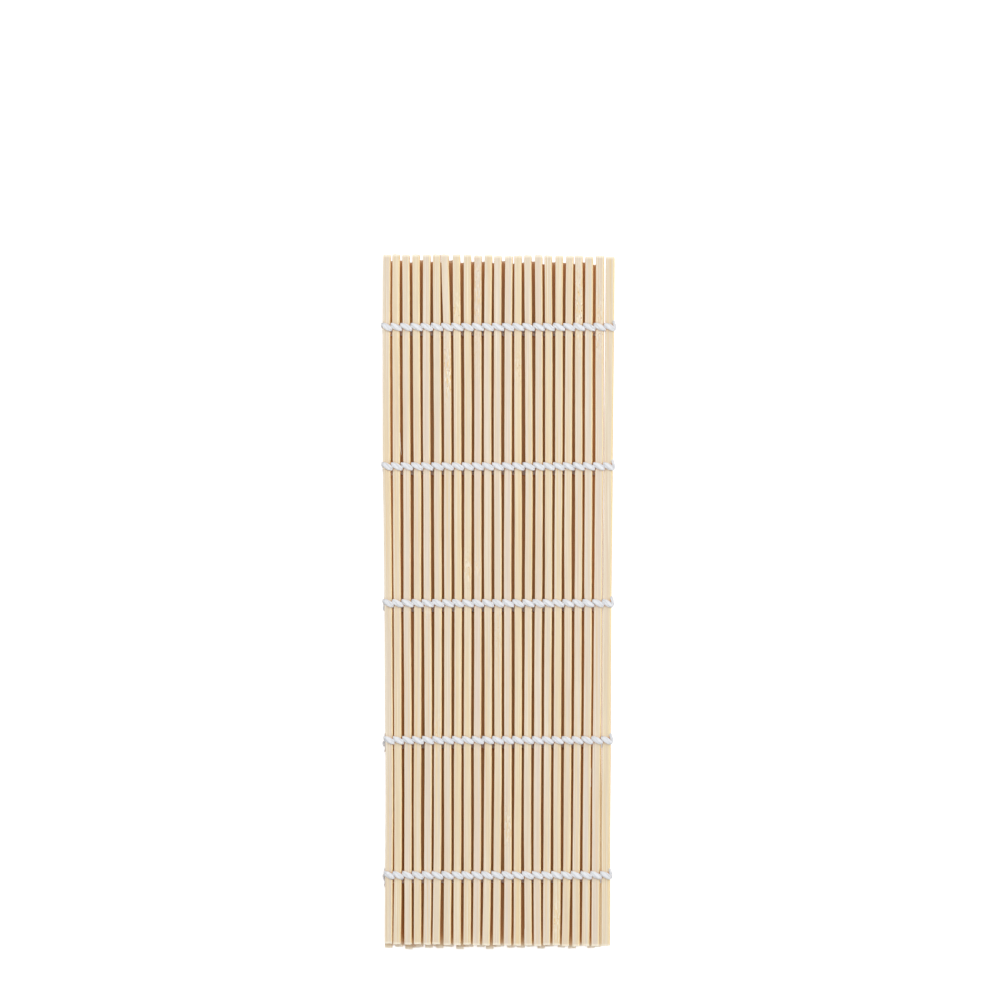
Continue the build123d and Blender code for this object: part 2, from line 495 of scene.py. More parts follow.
@dataclass
class SlatShop:
    """Cuts every slat from one template and bends it to its place.

    Rates are in radians per metre, but ragged_rate per half width. Bands are shares of a slat's
    half width or thickness. Each node range is the lowest and highest place, reach or strength
    of a node drawn by chance. sliver_size is a splinter's width, its thickness and how far its
    root lies below the slat's face.
    """

    seed: int = 9100
    seed_step: int = 17
    corner_power: float = 4.6
    ring_points: int = 24
    lengths: int = 90
    waves: tuple = (0.00007, 0.000035)
    wave_rates: tuple = (31, 83)
    edge_waves: tuple = (0.012, 0.008)
    edge_rates: tuple = (140, 333)
    narrowest: float = 0.965
    crown: float = 0.03
    swelling: float = 0.00012
    end_round: float = 0.0003
    round_ring: float = 0.3
    # cap is how far the pale end reaches past the rounding; lower_cap, longer, is painted light on the ends
    # of the slats under the top third, lit from the open ends.
    cap: float = 0.0008
    lower_cap: float = 0.0012
    cut_start: float = 0.0002
    lean_start: float = 0.093
    right_slope: float = 0.00016
    ragged_end: float = 0.00024
    ragged_rate: float = 3.1
    # The rim band places the painted highlights along the edges of the face; the corner band and fade take
    # them off the very corner.
    rim_highlight_band: tuple = (0.6, 0.8)
    corner_band: tuple = (0.97, 1.0)
    corner_fade: float = 0.6
    back_band: tuple = (-0.2, 0.6)
    # The side bands place the warm side colour, partly painted shade, on the slats' sides.
    side_bands: tuple = ((0.93, 0.5), (0.9, 0.99))
    node_share: float = 0.35
    node_ranges: tuple = ((-0.11, 0.11), (0.004, 0.012), (0.3, 0.7))
    sliver_size: tuple = (0.00038, 0.00022, 0.00022)
    sliver_lengths: int = 12
    sliver_curve: float = 1.7
    sliver_taper: float = 0.75
    sliver_sink: float = 0.4
    sliver_root: float = 0.6
    marks: tuple = ("tone", "pink", "rim_highlight", "pale_wood_and_highlight", "node", "side", "back", "cut")

    def template(self) -> bpy.types.Mesh:
        """A slat of unit half-sizes, round-cornered, with rings along its length.

        Returns:
            The slat's mesh.
        """
        shape = bmesh.new()
        bmesh.ops.create_circle(shape, cap_ends=True, segments=self.ring_points, radius=1.0)
        for vert in shape.verts:
            angle = math.atan2(vert.co.y, vert.co.x) + math.pi / self.ring_points
            across, up = (math.copysign(abs(part) ** (2 / self.corner_power), part)
                          for part in (math.cos(angle), math.sin(angle)))
            vert.co = Vector((across, -1, up))
        grown = bmesh.ops.extrude_face_region(shape, geom=shape.faces[:])
        moved = [item for item in grown["geom"] if isinstance(item, bmesh.types.BMVert)]
        bmesh.ops.translate(shape, verts=moved, vec=(0, 2, 0))
        long_edges = [edge for edge in shape.edges if abs(edge.verts[0].co.y - edge.verts[1].co.y) > 1]
        bmesh.ops.subdivide_edges(shape, edges=long_edges, cuts=self.lengths - 1, use_grid_fill=True)
        return mesh_from(shape, "slat template")

    def blemishes_for(self, slat: Slat, chance: random.Random) -> list:
        """A slat's own blemishes, or now and then a node somewhere along it.

        Args:
            slat: the slat.
            chance: its own random numbers.

        Returns:
            The blemishes.
        """
        if slat.blemishes or chance.random() > self.node_share:
            return slat.blemishes
        return [Blemish(slat.number, *(chance.uniform(low, high) for low, high in self.node_ranges))]

    def build(self, name: str, slats: list, template: bpy.types.Mesh) -> bpy.types.Object:
        """Makes one piece of several slats.

        Args:
            name: the piece's name.
            slats: its slats.
            template: the unit slat.

        Returns:
            The new piece.
        """
        shape = bmesh.new()
        for key in self.marks:
            shape.verts.layers.float.new(key)
        for slat in slats:
            chance = random.Random(self.seed + slat.number * self.seed_step + len(slat.third.value))
            start = len(shape.verts)
            shape.from_mesh(template)
            shape.verts.ensure_lookup_table()
            layers = {key: shape.verts.layers.float[key] for key in self.marks}
            self.shape_slat(slat, shape.verts[start:], layers, chance)
            for sliver in slat.slivers:
                self.add_sliver(shape, slat, sliver, layers)
        return link_object(name, mesh_from(shape, name))

    def add_sliver(self, shape: bmesh.types.BMesh, slat: Slat, sliver: Sliver, layers: dict) -> None:
        """Adds one tapering splinter, which leaves the slat's edge in a curve.

        Args:
            shape: the piece's bmesh.
            slat: its slat.
            sliver: the splinter.
            layers: the attributes to fill, by name.
        """
        start = len(shape.verts)
        corners = bmesh.ops.create_cube(shape, size=1.0)["verts"]
        edges = {edge for vert in corners for edge in vert.link_edges}
        long_edges = [edge for edge in edges if abs(edge.verts[0].co.y - edge.verts[1].co.y) > 0.5]
        bmesh.ops.subdivide_edges(shape, edges=long_edges, cuts=self.sliver_lengths, use_grid_fill=True)
        shape.verts.ensure_lookup_table()
        half_width = (slat.high.x - slat.low.x) / 2
        width, depth, drop = self.sliver_size
        for vert in shape.verts[start:]:
            share = vert.co.y + 0.5
            y = sliver.root + sliver.reach * share
            out = half_width - width * self.sliver_root + sliver.spread * share ** self.sliver_curve
            x = slat.place_at(y) + sliver.side * out
            taper = 1 - self.sliver_taper * share
            z = slat.high.z - drop - self.sliver_sink * sliver.spread * share
            vert.co = Vector((x + vert.co.x * width * taper, y, z + vert.co.z * depth * taper))
            vert[layers["tone"]] = slat.tone
            vert[layers["pale_wood_and_highlight"]] = 1.0

    def ring_place(self, share: float, half: float, cap: float) -> float:
        """Where along a slat a ring goes: evenly spaced, but with the last ones close to the end.

        Args:
            share: the ring's place on the template, from -1 to 1.
            half: half the slat's length.
            cap: how deep the pale cut end, partly painted highlight, reaches past the rounding.

        Returns:
            How far the ring lies from the slat's middle, with the sign of share.
        """
        from_end = round((1 - abs(share)) * self.lengths / 2)
        near_end = {0: 0.0, 1: self.round_ring * self.end_round, 2: self.end_round, 3: self.end_round + cap}
        place = half - near_end[from_end] if from_end in near_end else abs(share) * half
        return math.copysign(place, share)

    def shape_slat(self, slat: Slat, verts: list, layers: dict, chance: random.Random) -> None:
        """Sizes, bends and marks one slat.

        Args:
            slat: the slat.
            verts: its vertices, still those of the template.
            layers: the attributes to fill, by name.
            chance: the slat's own random numbers.
        """
        middle = slat.middle
        half = (slat.high - slat.low) / 2
        phases = [chance.uniform(0, 2 * math.pi) for _ in range(4)]
        width_share = chance.uniform(self.narrowest, 1.0)
        marks = self.blemishes_for(slat, chance)
        # Under the top third the pale end is longer: painted light from the open end.
        cap = self.cap if slat.third is Third.TOP else self.lower_cap
        for vert in verts:
            unit = vert.co.copy()
            y = self.ring_place(unit.y, half.y, cap)
            inset = max(0.0, 1 - (half.y - abs(y)) / self.end_round)
            edge = 1 - math.sqrt(max(0.0, 1 - inset ** 2))
            swell = sum(mark.strength * math.exp(-(((y - mark.place) / mark.reach) ** 2)) for mark in marks)
            sway = sum(size * math.sin(rate * y + phase)
                       for size, rate, phase in zip(self.waves, self.wave_rates, phases))
            lean = slat.lean * max(0.0, (y - self.lean_start) / (half.y - self.lean_start))
            slow = math.sin(self.edge_rates[0] * y + phases[2] + 2 * unit.x)
            quick = math.sin(self.edge_rates[1] * y + phases[3])
            side_wave = 1 + self.edge_waves[0] * slow + self.edge_waves[1] * quick
            half_width = half.x * slat.width * width_share * side_wave + self.swelling * swell * 0.5
            rounding = 1 - edge * self.end_round / half.x
            slope = self.right_slope * max(unit.x, 0) * (unit.z * slat.front + 1) / 2
            cut_back = 0.5 + 0.5 * math.sin(self.ragged_rate * unit.x + phases[0])
            ragged = edge * self.ragged_end * cut_back * math.copysign(1, -y)
            across = abs(unit.x)
            crowning = 1 - self.crown * across ** 3
            vert.co = Vector((
                slat.place_at(middle.y + y) + sway + lean + unit.x * half_width * rounding - slope,
                middle.y + y * (1 - slat.trim[y > 0] / half.y) + ragged,
                middle.z + unit.z * half.z * (1 - edge * self.end_round / half.z) * crowning,
            ))
            # Painted highlights along both edges of the face: one colour on the right edge and a paler one on
            # the left.
            corner = smoothstep(*self.corner_band, across) * self.corner_fade
            rim_highlight = smoothstep(*self.rim_highlight_band, across) * (1 - corner)
            up_band, out_band = self.side_bands
            vert[layers["tone"]] = slat.tone
            vert[layers["pink"]] = slat.pink
            vert[layers["rim_highlight"]] = rim_highlight if unit.x > 0 else 0.0
            vert[layers["pale_wood_and_highlight"]] = rim_highlight if unit.x < 0 else 0.0
            vert[layers["back"]] = smoothstep(*self.back_band, -unit.z * slat.front)
            vert[layers["node"]] = min(swell, 1.0)
            # Warm sides: partly the split wood's own colour, partly painted shade of the gaps.
            vert[layers["side"]] = smoothstep(*up_band, abs(unit.z)) * smoothstep(*out_band, across)
            # Pale ends: partly cut wood, partly painted highlight, and under the top third a longer stretch
            # of painted light from the open end.
            vert[layers["cut"]] = 1 - smoothstep(self.cut_start, self.end_round + cap, half.y - abs(y))


@dataclass
class Stretch:
    """One stretch of a cord's middle line.

    points are in the row frame; girth is half the cord's thickness and half its width at each
    of them; owner is the body that the stretch rides on, or a fold's name.
    """

    points: np.ndarray
    girth: np.ndarray
    owner: str


@dataclass
class CordShop:
    """Twines two cords over and under the slats, and sweeps their laid section along them.

    Each girth is half the cord's thickness and half its width. From swell_start above the slats'
    middle the cord swells to its full girth in a climb of swell_climb. lay is the length of one
    turn of the plies, and columns and crease_width are in degrees round the cord.
    """

    slat_points: int = 61
    reach: float = 0.00076
    rise: float = 0.0015
    over_power: float = 5.5
    slant: float = 0.2
    face_girth: tuple = (0.00055, 0.00106)
    gap_girth: tuple = (0.00036, 0.00070)
    edge_girth: tuple = (0.00040, 0.00078)
    swell_start: float = 0.0005
    swell_climb: float = 0.0006
    swell_power: float = 2.4
    lay: float = 0.0125
    crease_depth: float = 0.17
    crease_width: float = 15.0
    weld: float = 1e-7
    step: float = 0.00040
    plies: int = 3
    columns: tuple = (0, 9, 19, 34, 52, 68, 86, 101, 111)

    def girth_at(self, height: np.ndarray, shape: np.ndarray, free: np.ndarray) -> np.ndarray:
        """Half the cord's thickness and width: thin inside the gap, plump over the slat.

        Args:
            height: how far each point is from the slats' middle.
            shape: how far it is from the slat's middle line, as a share.
            free: where the line ends on the slat, with no gap to dive into.

        Returns:
            The half thicknesses and widths.
        """
        share = np.clip((np.abs(height) - self.swell_start) / self.swell_climb, 0, 1)
        share = share * share * (3 - 2 * share)
        thick = self.gap_girth[0] + (self.face_girth[0] - self.gap_girth[0]) * share
        narrow = np.where(free, self.edge_girth[1], self.gap_girth[1])
        plump = (self.face_girth[1] - narrow) * (1 - np.abs(shape) ** self.swell_power)
        return np.stack([thick, narrow + plump], axis=1)

    def over_slat(self, place: float, ends: tuple, row: tuple, face: Face, way: int, free: tuple) -> tuple:
        """The middle line over or under one slat.

        Args:
            place: the X of the slat's middle.
            ends: the X where the line starts and stops.
            row: the Y of the row and the Z of the slats' middle.
            face: the face that the cord runs on.
            way: 1 if the line runs towards +X, or -1.
            free: whether the start and the stop lie on the slat, with no gap to dive into.

        Returns:
            The points and the girths.
        """
        turn = np.linspace(0, math.pi, self.slat_points)
        across = np.cos(turn)
        first, last = abs(place - ends[0]), abs(ends[1] - place)
        half = np.where(across > 0, first, last)
        shape = np.sign(across) * np.abs(across) ** (2 / self.over_power)
        height = np.abs(np.sin(turn)) ** (2 / self.over_power)
        height = np.where(across > 0, 1.0 if free[0] else height, 1.0 if free[1] else height)
        shape = np.where((across > 0) & free[0] | (across <= 0) & free[1], across, shape)
        x = place - way * shape * half
        y = row[0] + self.reach * face.value * way * shape * (1 + self.slant * (1 - shape ** 2))
        z = row[1] + face.value * self.rise * height
        girth = self.girth_at(self.rise * height, shape, np.where(across > 0, free[0], free[1]))
        return np.stack([x, y, z], axis=1), girth

    def resample(self, points: np.ndarray, girth: np.ndarray) -> tuple:
        """Spaces a stretch's points evenly, about one step apart.

        Args:
            points: its points.
            girth: half the cord's thickness and width at each point.

        Returns:
            The new points and girths.
        """
        lengths = travelled(points)
        count = max(int(round(lengths[-1] / self.step)), 3) + 1
        wanted = np.linspace(0, lengths[-1], count)
        return tuple(np.stack([np.interp(wanted, lengths, row) for row in values.T], axis=1)
                     for values in (points, girth))

    def frames_along(self, points: np.ndarray, side: tuple = (0.0, 1.0, 0.0)) -> tuple:
        """Two directions across a line at each of its points.

        Args:
            points: the line.
            side: the direction that the first of the two comes as close to as it can.

        Returns:
            The sideways and the outward directions.
        """
        ahead = np.gradient(points, axis=0)
        ahead /= np.linalg.norm(ahead, axis=1)[:, None]
        sideways = np.array(side) - ahead * (ahead @ np.array(side))[:, None]
        sideways /= np.linalg.norm(sideways, axis=1)[:, None]
        return sideways, np.cross(ahead, sideways)

    def rounded(self, knots: list, count: int = 40) -> np.ndarray:
        """A smooth line through a few points, its ends as straight as the first and last runs.

        Args:
            knots: the points.
            count: how many points the line gets from each of them to the next.

        Returns:
            The points of the line.
        """
        spots = np.array(knots, float)
        ends = np.vstack([2 * spots[0] - spots[1], spots, 2 * spots[-1] - spots[-2]])
        line = []
        for first in range(len(spots) - 1):
            a, b, c, d = ends[first:first + 4]
            for share in np.linspace(0, 1, count, endpoint=first == len(spots) - 2):
                line.append(0.5 * (2 * b + (c - a) * share + (2 * a - 5 * b + 4 * c - d) * share ** 2
                                   + (3 * b - a - 3 * c + d) * share ** 3))
        return np.array(line)

    def section(self, girth: np.ndarray, twist: float) -> np.ndarray:
        """The laid cord's section: its plies, with a crease between each two.

        Args:
            girth: half the cord's thickness and width.
            twist: how far the plies have turned, in radians.

        Returns:
            The section's points, each as its way sideways and outwards.
        """
        share = self.ply_share()
        starts = [column + ply * share for ply in range(self.plies) for column in self.columns]
        degrees = np.array(starts + [360], float)
        nearest = np.minimum(degrees % share, share - degrees % share)
        swell = 1 - self.crease_depth * np.exp(-((nearest / self.crease_width) ** 2))
        angles = np.radians(degrees) + twist
        return np.stack([girth[1] * swell * np.cos(angles), girth[0] * swell * np.sin(angles)], axis=1)

    def ply_share(self) -> float:
        """The part of a turn that one ply takes up, in degrees."""
        return 360 / self.plies

    def new_shape(self) -> bmesh.types.BMesh:
        """An empty shape that can take the marks of a cord."""
        shape = bmesh.new()
        shape.verts.layers.float.new("crease")
        shape.loops.layers.uv.new("UVMap")
        return shape

    def sweep(self, shape: bmesh.types.BMesh, line: np.ndarray, frames: tuple, girth: np.ndarray,
              travel: np.ndarray) -> None:
        """Rolls a grid into the laid cord along one stretch, welds it and closes its ends.

        Args:
            shape: the piece's bmesh, with a UV map and a crease attribute.
            line: the points of the stretch.
            frames: the sideways and the outward direction at each point.
            girth: half the cord's thickness and width at each point.
            travel: the length of cord up to each point, which turns its plies.
        """
        rings, around = len(line), self.plies * len(self.columns) + 1
        crease = shape.verts.layers.float["crease"]
        uv = shape.loops.layers.uv["UVMap"]
        verts = bmesh.ops.create_grid(shape, x_segments=rings - 1, y_segments=around - 1, size=0.5)["verts"]
        sections = [self.section(girth[i], 2 * math.pi * travel[i] / self.lay) for i in range(rings)]
        place = {}
        for vert in verts:
            ring = int(round((vert.co.x + 0.5) * (rings - 1)))
            column = int(round((vert.co.y + 0.5) * (around - 1)))
            place[vert] = (ring, column)
            side, out = sections[ring][column]
            vert.co = Vector(line[ring] + frames[0][ring] * side + frames[1][ring] * out)
            degrees = self.columns[column % len(self.columns)]
            # The crease attribute places the painted shade between the plies.
            vert[crease] = math.exp(-((min(degrees, self.ply_share() - degrees) / self.crease_width) ** 2))
        for face in {face for vert in verts for face in vert.link_faces}:
            for loop in face.loops:
                ring, column = place[loop.vert]
                loop[uv].uv = (column / (around - 1), travel[ring] / self.lay)
        bmesh.ops.remove_doubles(shape, verts=verts, dist=self.weld)
        kept = [vert for vert in verts if vert.is_valid]
        open_edges = list({edge for vert in kept for edge in vert.link_edges if edge.is_boundary})
        bmesh.ops.holes_fill(shape, edges=open_edges, sides=0)


@dataclass
class Mat:
    """The whole mat: its slats by third, its rows of cord and its knots.

    places_off holds how far each front slat lies from its CAD place at each of place_heights,
    in hundredths of a millimetre: the mat narrows towards its -Y end. lower_off holds the same
    for all slats of a third, and strays how far chance may bend a slat under the top third, as
    the terms of a cubic. lower_trim is how much a slat under the top third is cut short at its
    -Y and +Y ends: that of a slat at left_edge, and how fast it grows towards +X. widths and
    leans go by front slats, counted from the fold. row_off is how far each row of cord strays
    along the slats. The edge sizes shape the cords' turn round the top third's free edge, and
    each step of knot_run is the cord's way out and its share of the way up to the knot.
    outer_route and inner_route are the ways round a fold, as fold_line takes them.
    """

    bamboo: BambooFinish
    cotton: CottonFinish
    slat_shop: SlatShop
    cord_shop: CordShop
    slat_pitch: float = 0.00352
    pitch_play: float = 0.0002
    body_seed: int = 4100
    front_seed: int = 77
    tail_seed: int = 60
    numbers_start: float = 0.1
    numbers_per_metre: int = 2000
    row_spacing: float = 0.04755
    row_count: int = 5
    row_twist: float = 0.0031
    row_lift: float = 0.0003
    row_off: tuple = (-0.00005, -0.00078, -0.00084, -0.00092, -0.00015)
    lower_trim: tuple = ((0.0004, 0.004), (0.0002, 0.012))
    left_edge: float = -0.038
    tail_yarns: int = 5
    tail_points: int = 6
    tail_root: float = 0.0009
    tail_length: float = 0.0026
    tail_spread: float = 0.0005
    tail_turn: float = 0.6
    tail_bend: tuple = (0.45, 0.4)
    tail_lengths: tuple = (0.75, 1.0)
    tail_spreads: tuple = (0.8, 1.3)
    edge_bulge: float = 0.00046
    edge_lift: float = 0.0010
    edge_swing: float = 0.0013
    edge_hump: float = 0.0008
    edge_tuck: float = 0.00035
    edge_round: float = 0.0005
    edge_points: int = 20
    fold_taper: float = 0.16
    knot_run: tuple = ((-0.0004, 0.12), (-0.0009, 0.6))
    knot_points: int = 60
    knot_size: tuple = (0.00026, 0.00040, 0.00055)
    knot_turn: float = 0.7
    knot_girth: tuple = (0.00048, 0.0006)
    yarn_girth: tuple = (0.00015, 0.00019)
    inner_stop: float = 0.0006
    outer_route: tuple = (
        (0.00024, 0.00035, 0), (0.00031, 0.00105, 0), (0.00031, 0.00235, 0.05),
        (0.00011, 0.00335, 0.3), (-0.00059, 0.00415, 0.75),
    )
    inner_route: tuple = (
        (0.00036, 0.0002, 0.1), (0.00043, 0.00065, 0.35), (0.00019, 0.00145, 0.7),
        (-0.00012, 0.00245, 0.95), (-0.00019, 0.00335, 1), (-0.00034, 0.0041, 1),
    )
    fold_links: dict = field(default_factory=lambda: {"fold_top": "top_01", "fold_bottom": "bottom_01"})
    fold_ends: dict = field(default_factory=dict)
    place_heights: tuple = (0.115, 0.0557, -0.0008, -0.0598, -0.1128)
    places_off: tuple = (
        (6, 2, 47, 89, 72), (-31, -24, 14, 42, 7), (-50, -8, 9, 30, 23),
        (-34, -13, 18, 7, 14), (-33, -15, 6, 26, -8), (-27, -3, 18, 14, -41),
        (-33, -12, 16, 2, -15), (-34, -13, 14, -13, -10), (-22, -8, -1, -15, -33),
        (-3, -20, -6, -17, -52), (-5, -19, -5, -19, -67), (-17, -31, -6, -31, -52),
        (-1, -22, -15, -29, -39), (-27, -24, -10, -38, -45), (-29, -5, -15, -39, -26),
        (-6, 0, -24, -48, -52), (-22, -22, -29, -57, -85), (-13, -20, -41, -69, -107),
        (2, -39, -39, -78, -126), (-20, -34, -48, -86, -124), (-26, -36, -57, -102, -137),
        (4, -20, -79, -104, -156), (-5, -46, -109, -126, -164),
    )
    lower_off: dict = field(default_factory=lambda: {
        Third.TOP: (0, 0, 0, 0, 0), Third.MIDDLE: (0, 0, 0, -20, -50), Third.BOTTOM: (30, 38, 45, 52, 62),
    })
    high_ends: tuple = (0.12085, 0.1203)
    low_ends: tuple = (-0.1185, -0.1193)
    end_scatter: float = 0.00022
    strays: tuple = (0.01, 0.001, 0.0001)
    widths: dict = field(default_factory=lambda: {12: 1.03, 20: 1.03, 21: 1.06, 22: 1.12})
    leans: dict = field(default_factory=lambda: {6: -0.00062})
    lower_tones: tuple = (0.25, 0.75)
    lower_pinks: tuple = (0.0, 0.7)
    tones: tuple = (
        0.45, 0.72, 0.40, 0.66, 0.30, 0.50, 0.42, 0.68, 0.60, 0.35, 0.50, 0.40,
        0.30, 0.75, 0.48, 0.38, 0.35, 0.58, 0.50, 0.40, 0.25, 0.30, 0.55,
    )
    pinks: tuple = (
        0.3, 0.1, 0.3, 0.0, 0.3, 0.1, 0.3, 0.0, 0.1, 1.0, 0.1, 0.2,
        0.5, 0.0, 0.3, 0.6, 0.1, 0.0, 0.4, 0.2, 0.0, 0.6, 0.1,
    )
    blemishes: tuple = (
        Blemish(6, 0.079, 0.009, 0.9), Blemish(7, 0.101, 0.006, 0.55), Blemish(9, 0.103, 0.02, 0.5),
        Blemish(8, 0.0105, 0.005, 0.8), Blemish(9, 0.0115, 0.003, 0.5), Blemish(19, 0.101, 0.012, 0.8),
        Blemish(17, -0.1125, 0.0075, 0.9), Blemish(4, -0.003, 0.006, 0.3), Blemish(11, -0.012, 0.01, 0.3),
    )
    slivers: tuple = (
        Sliver(1, 0.0590, -0.0078, 1, 0.00052), Sliver(14, -0.1130, -0.0055, -1, 0.00028),
        Sliver(20, -0.0640, 0.0065, 1, 0.00022),
    )

    def __post_init__(self) -> None:
        """Reads every slat's box and every third's middle row from the frame."""
        self.slats = {body: self.read_slats(body) for body in frame["bodies"]}
        self.middle_row = {third: self.find_middle_row(third) for third in Third}

    def node_of(self, body: str, what: str) -> str:
        """The CAD node of a body's slats or cords."""
        third, _, number = body.partition("_")
        return f"{third}_{what}_{number}" if number else f"{third}_{what}"

    def third_of(self, body: str) -> Third:
        """The third of the mat that a body belongs to."""
        return Third(body.partition("_")[0])

    def find_middle_row(self, third: Third) -> float:
        """The Y of a third's middle row of cord, from the box of its first cords node.

        Args:
            third: the third.

        Returns:
            The Y.
        """
        body = next(body for body in frame["bodies"] if self.third_of(body) is third)
        low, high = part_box(self.node_of(body, "cords"))
        return (low.y + high.y) / 2 + self.row_lift

    def row_at(self, number: int) -> float:
        """How far a row lies from the middle of the rows: they are not quite evenly spaced."""
        return (number - (self.row_count - 1) / 2) * self.row_spacing + self.row_off[number]

    def read_slats(self, body: str) -> list:
        """Splits a body's slats node at its gaps.

        Args:
            body: the body's name.

        Returns:
            The slats from left to right.
        """
        third = self.third_of(body)
        mesh = frame["nodes"][self.node_of(body, "slats")].data
        corners = np.array([vert.co for vert in mesh.vertices], float)
        chance = random.Random(self.body_seed + len(corners) + sum(map(ord, body)))
        slats = []
        while len(corners):
            here = corners[:, 0] < corners[:, 0].min() + self.slat_pitch - self.pitch_play
            low, high = Vector(corners[here].min(0)), Vector(corners[here].max(0))
            corners = corners[~here]
            bow = bow_through(self.place_heights, self.lower_off[third])
            bow = bow + np.array([0] + [chance.uniform(-most, most) for most in self.strays])
            number = int(round((low.x + self.numbers_start) * self.numbers_per_metre))
            slat = Slat(low, high, number, third, bow)
            slat.tone, slat.pink = chance.uniform(*self.lower_tones), chance.uniform(*self.lower_pinks) ** 2
            if third is not Third.TOP:
                along = low.x - self.left_edge
                slat.trim = tuple(start + slope * along for start, slope in self.lower_trim)
            slats.append(slat)
        return slats

    def dress_front(self) -> None:
        """Gives the top third's slats the places, ends, tones and blemishes that show in front."""
        chance = random.Random(self.front_seed)
        front = [slat for slats in self.slats.values() for slat in slats if slat.third is Third.TOP]
        front.sort(key=lambda slat: slat.low.x)
        for index, slat in enumerate(front):
            slat.bow = bow_through(self.place_heights, self.places_off[index])
            share = index / (len(front) - 1)
            for corner, (left, right) in ((slat.low, self.low_ends), (slat.high, self.high_ends)):
                corner.y = left + (right - left) * share + chance.uniform(-self.end_scatter, self.end_scatter)
            slat.tone, slat.pink = self.tones[index], self.pinks[index]
            slat.width, slat.lean = self.widths.get(index, 1.0), self.leans.get(index, 0.0)
            slat.blemishes = [mark for mark in self.blemishes if mark.slat == index]
            slat.slivers = [sliver for sliver in self.slivers if sliver.slat == index]

    def bodies_along(self) -> list:
        """Each third with its slats and their bodies, in the order in which a cord meets them.

        Returns:
            The thirds, from the top's free edge to the bottom's, each with its (body, slat) pairs.
        """
        order = []
        for third in Third:
            found = [(body, slat) for body, slats in self.slats.items()
                     for slat in slats if slat.third is third]
            backwards = third is not Third.MIDDLE
            order.append((third, sorted(found, key=lambda pair: pair[1].low.x, reverse=backwards)))
        return order

    def cord_route(self, row: float, face: Face) -> list:
        """One cord's stretches, from the top third's free edge to the knot.

        Args:
            row: how far the row is from the middle one.
            face: the face that the cord starts on.

        Returns:
            The stretches, in order.
        """
        shop = self.cord_shop
        route = []
        for third, run in self.bodies_along():
            way = 1 if third is Third.MIDDLE else -1
            row_place = (row + self.middle_row[third], run[0][1].middle.z)
            places = [slat.place_at(row_place[0]) for _, slat in run]
            gaps = [(here + there) / 2 for here, there in zip(places[:-1], places[1:])]
            for index, (body, slat) in enumerate(run):
                place = places[index]
                half = (slat.high.x - slat.low.x) / 2
                free = (index == 0, index == len(run) - 1)
                before = half - self.stop_short(third, face, free[0] and third is not Third.TOP)
                after = half - self.stop_short(third, face, free[1] and third is not Third.BOTTOM)
                start = place - way * before if free[0] else gaps[index - 1]
                stop = place + way * after if free[1] else gaps[index]
                points, girth = shop.over_slat(place, (start, stop), row_place, face, way, free)
                route.append(Stretch(points, girth, body))
                face = face.other()
            face = face.other()
            if third is not Third.BOTTOM:
                route.append(None)
        return route

    def stop_short(self, third: Third, face: Face, at_fold: bool) -> float:
        """How far inside a slat's edge a cord leaves it at a fold, if it lies between the layers."""
        between = face is (Face.LOWER if third is Third.TOP else Face.UPPER)
        return self.inner_stop if at_fold and between and third is not Third.MIDDLE else 0.0

    def fold_line(self, lapped: np.ndarray, inner: np.ndarray, outwards: int, route: tuple) -> np.ndarray:
        """The middle line of a cord round a fold.

        Args:
            lapped: the cord's last point on the top or the bottom third.
            inner: its last point on the middle third.
            outwards: -1 for the fold at the left, 1 for the one at the right.
            route: the fold's route, each point as its way out, its way towards the middle
                third and its share of the move along the slats.

        Returns:
            The points of the line, from the lapped third to the middle one.
        """
        toward = math.copysign(1, inner[2] - lapped[2])
        spots = [lapped]
        for out, down, along in route:
            y = lapped[1] + (inner[1] - lapped[1]) * along
            spots.append((lapped[0] + outwards * out, y, lapped[2] + toward * down))
        return self.cord_shop.rounded(spots + [inner])

    def wrap_line(self, start: np.ndarray, height: float) -> np.ndarray:
        """Half of the turn round the top third's free edge.

        Args:
            start: the cord's first point on the last slat.
            height: the Z of the slats' middle.

        Returns:
            The points of the line, from its outermost point to the slat.
        """
        turn = np.linspace(0, math.pi / 2, self.edge_points)
        face = math.copysign(1, start[2] - height)
        x = start[0] + self.edge_bulge * np.cos(turn)
        z = height + face * self.cord_shop.rise * np.sin(turn) ** 2 + self.edge_lift * np.cos(turn) ** 2
        y = start[1] + face * self.cord_shop.reach * (1 - np.sin(turn))
        if face < 0:
            hump = np.sin(2 * turn)
            x, y, z = x - self.edge_tuck * hump, y + self.edge_swing * hump, z + self.edge_hump * hump
        return np.stack([x, y, z], axis=1)

    def knot_line(self, stop: np.ndarray, knot: Vector, row: float) -> np.ndarray:
        """The cord's way from the last slat into its knot.

        Args:
            stop: the cord's last point on the slat.
            knot: the middle of the knot.
            row: the Y of the row.

        Returns:
            The points of the line.
        """
        core = np.array([knot.x, row, knot.z])
        run = [stop + np.array([out, 0, (core[2] - stop[2]) * share]) for out, share in self.knot_run]
        return self.cord_shop.rounded([stop, *run, core])

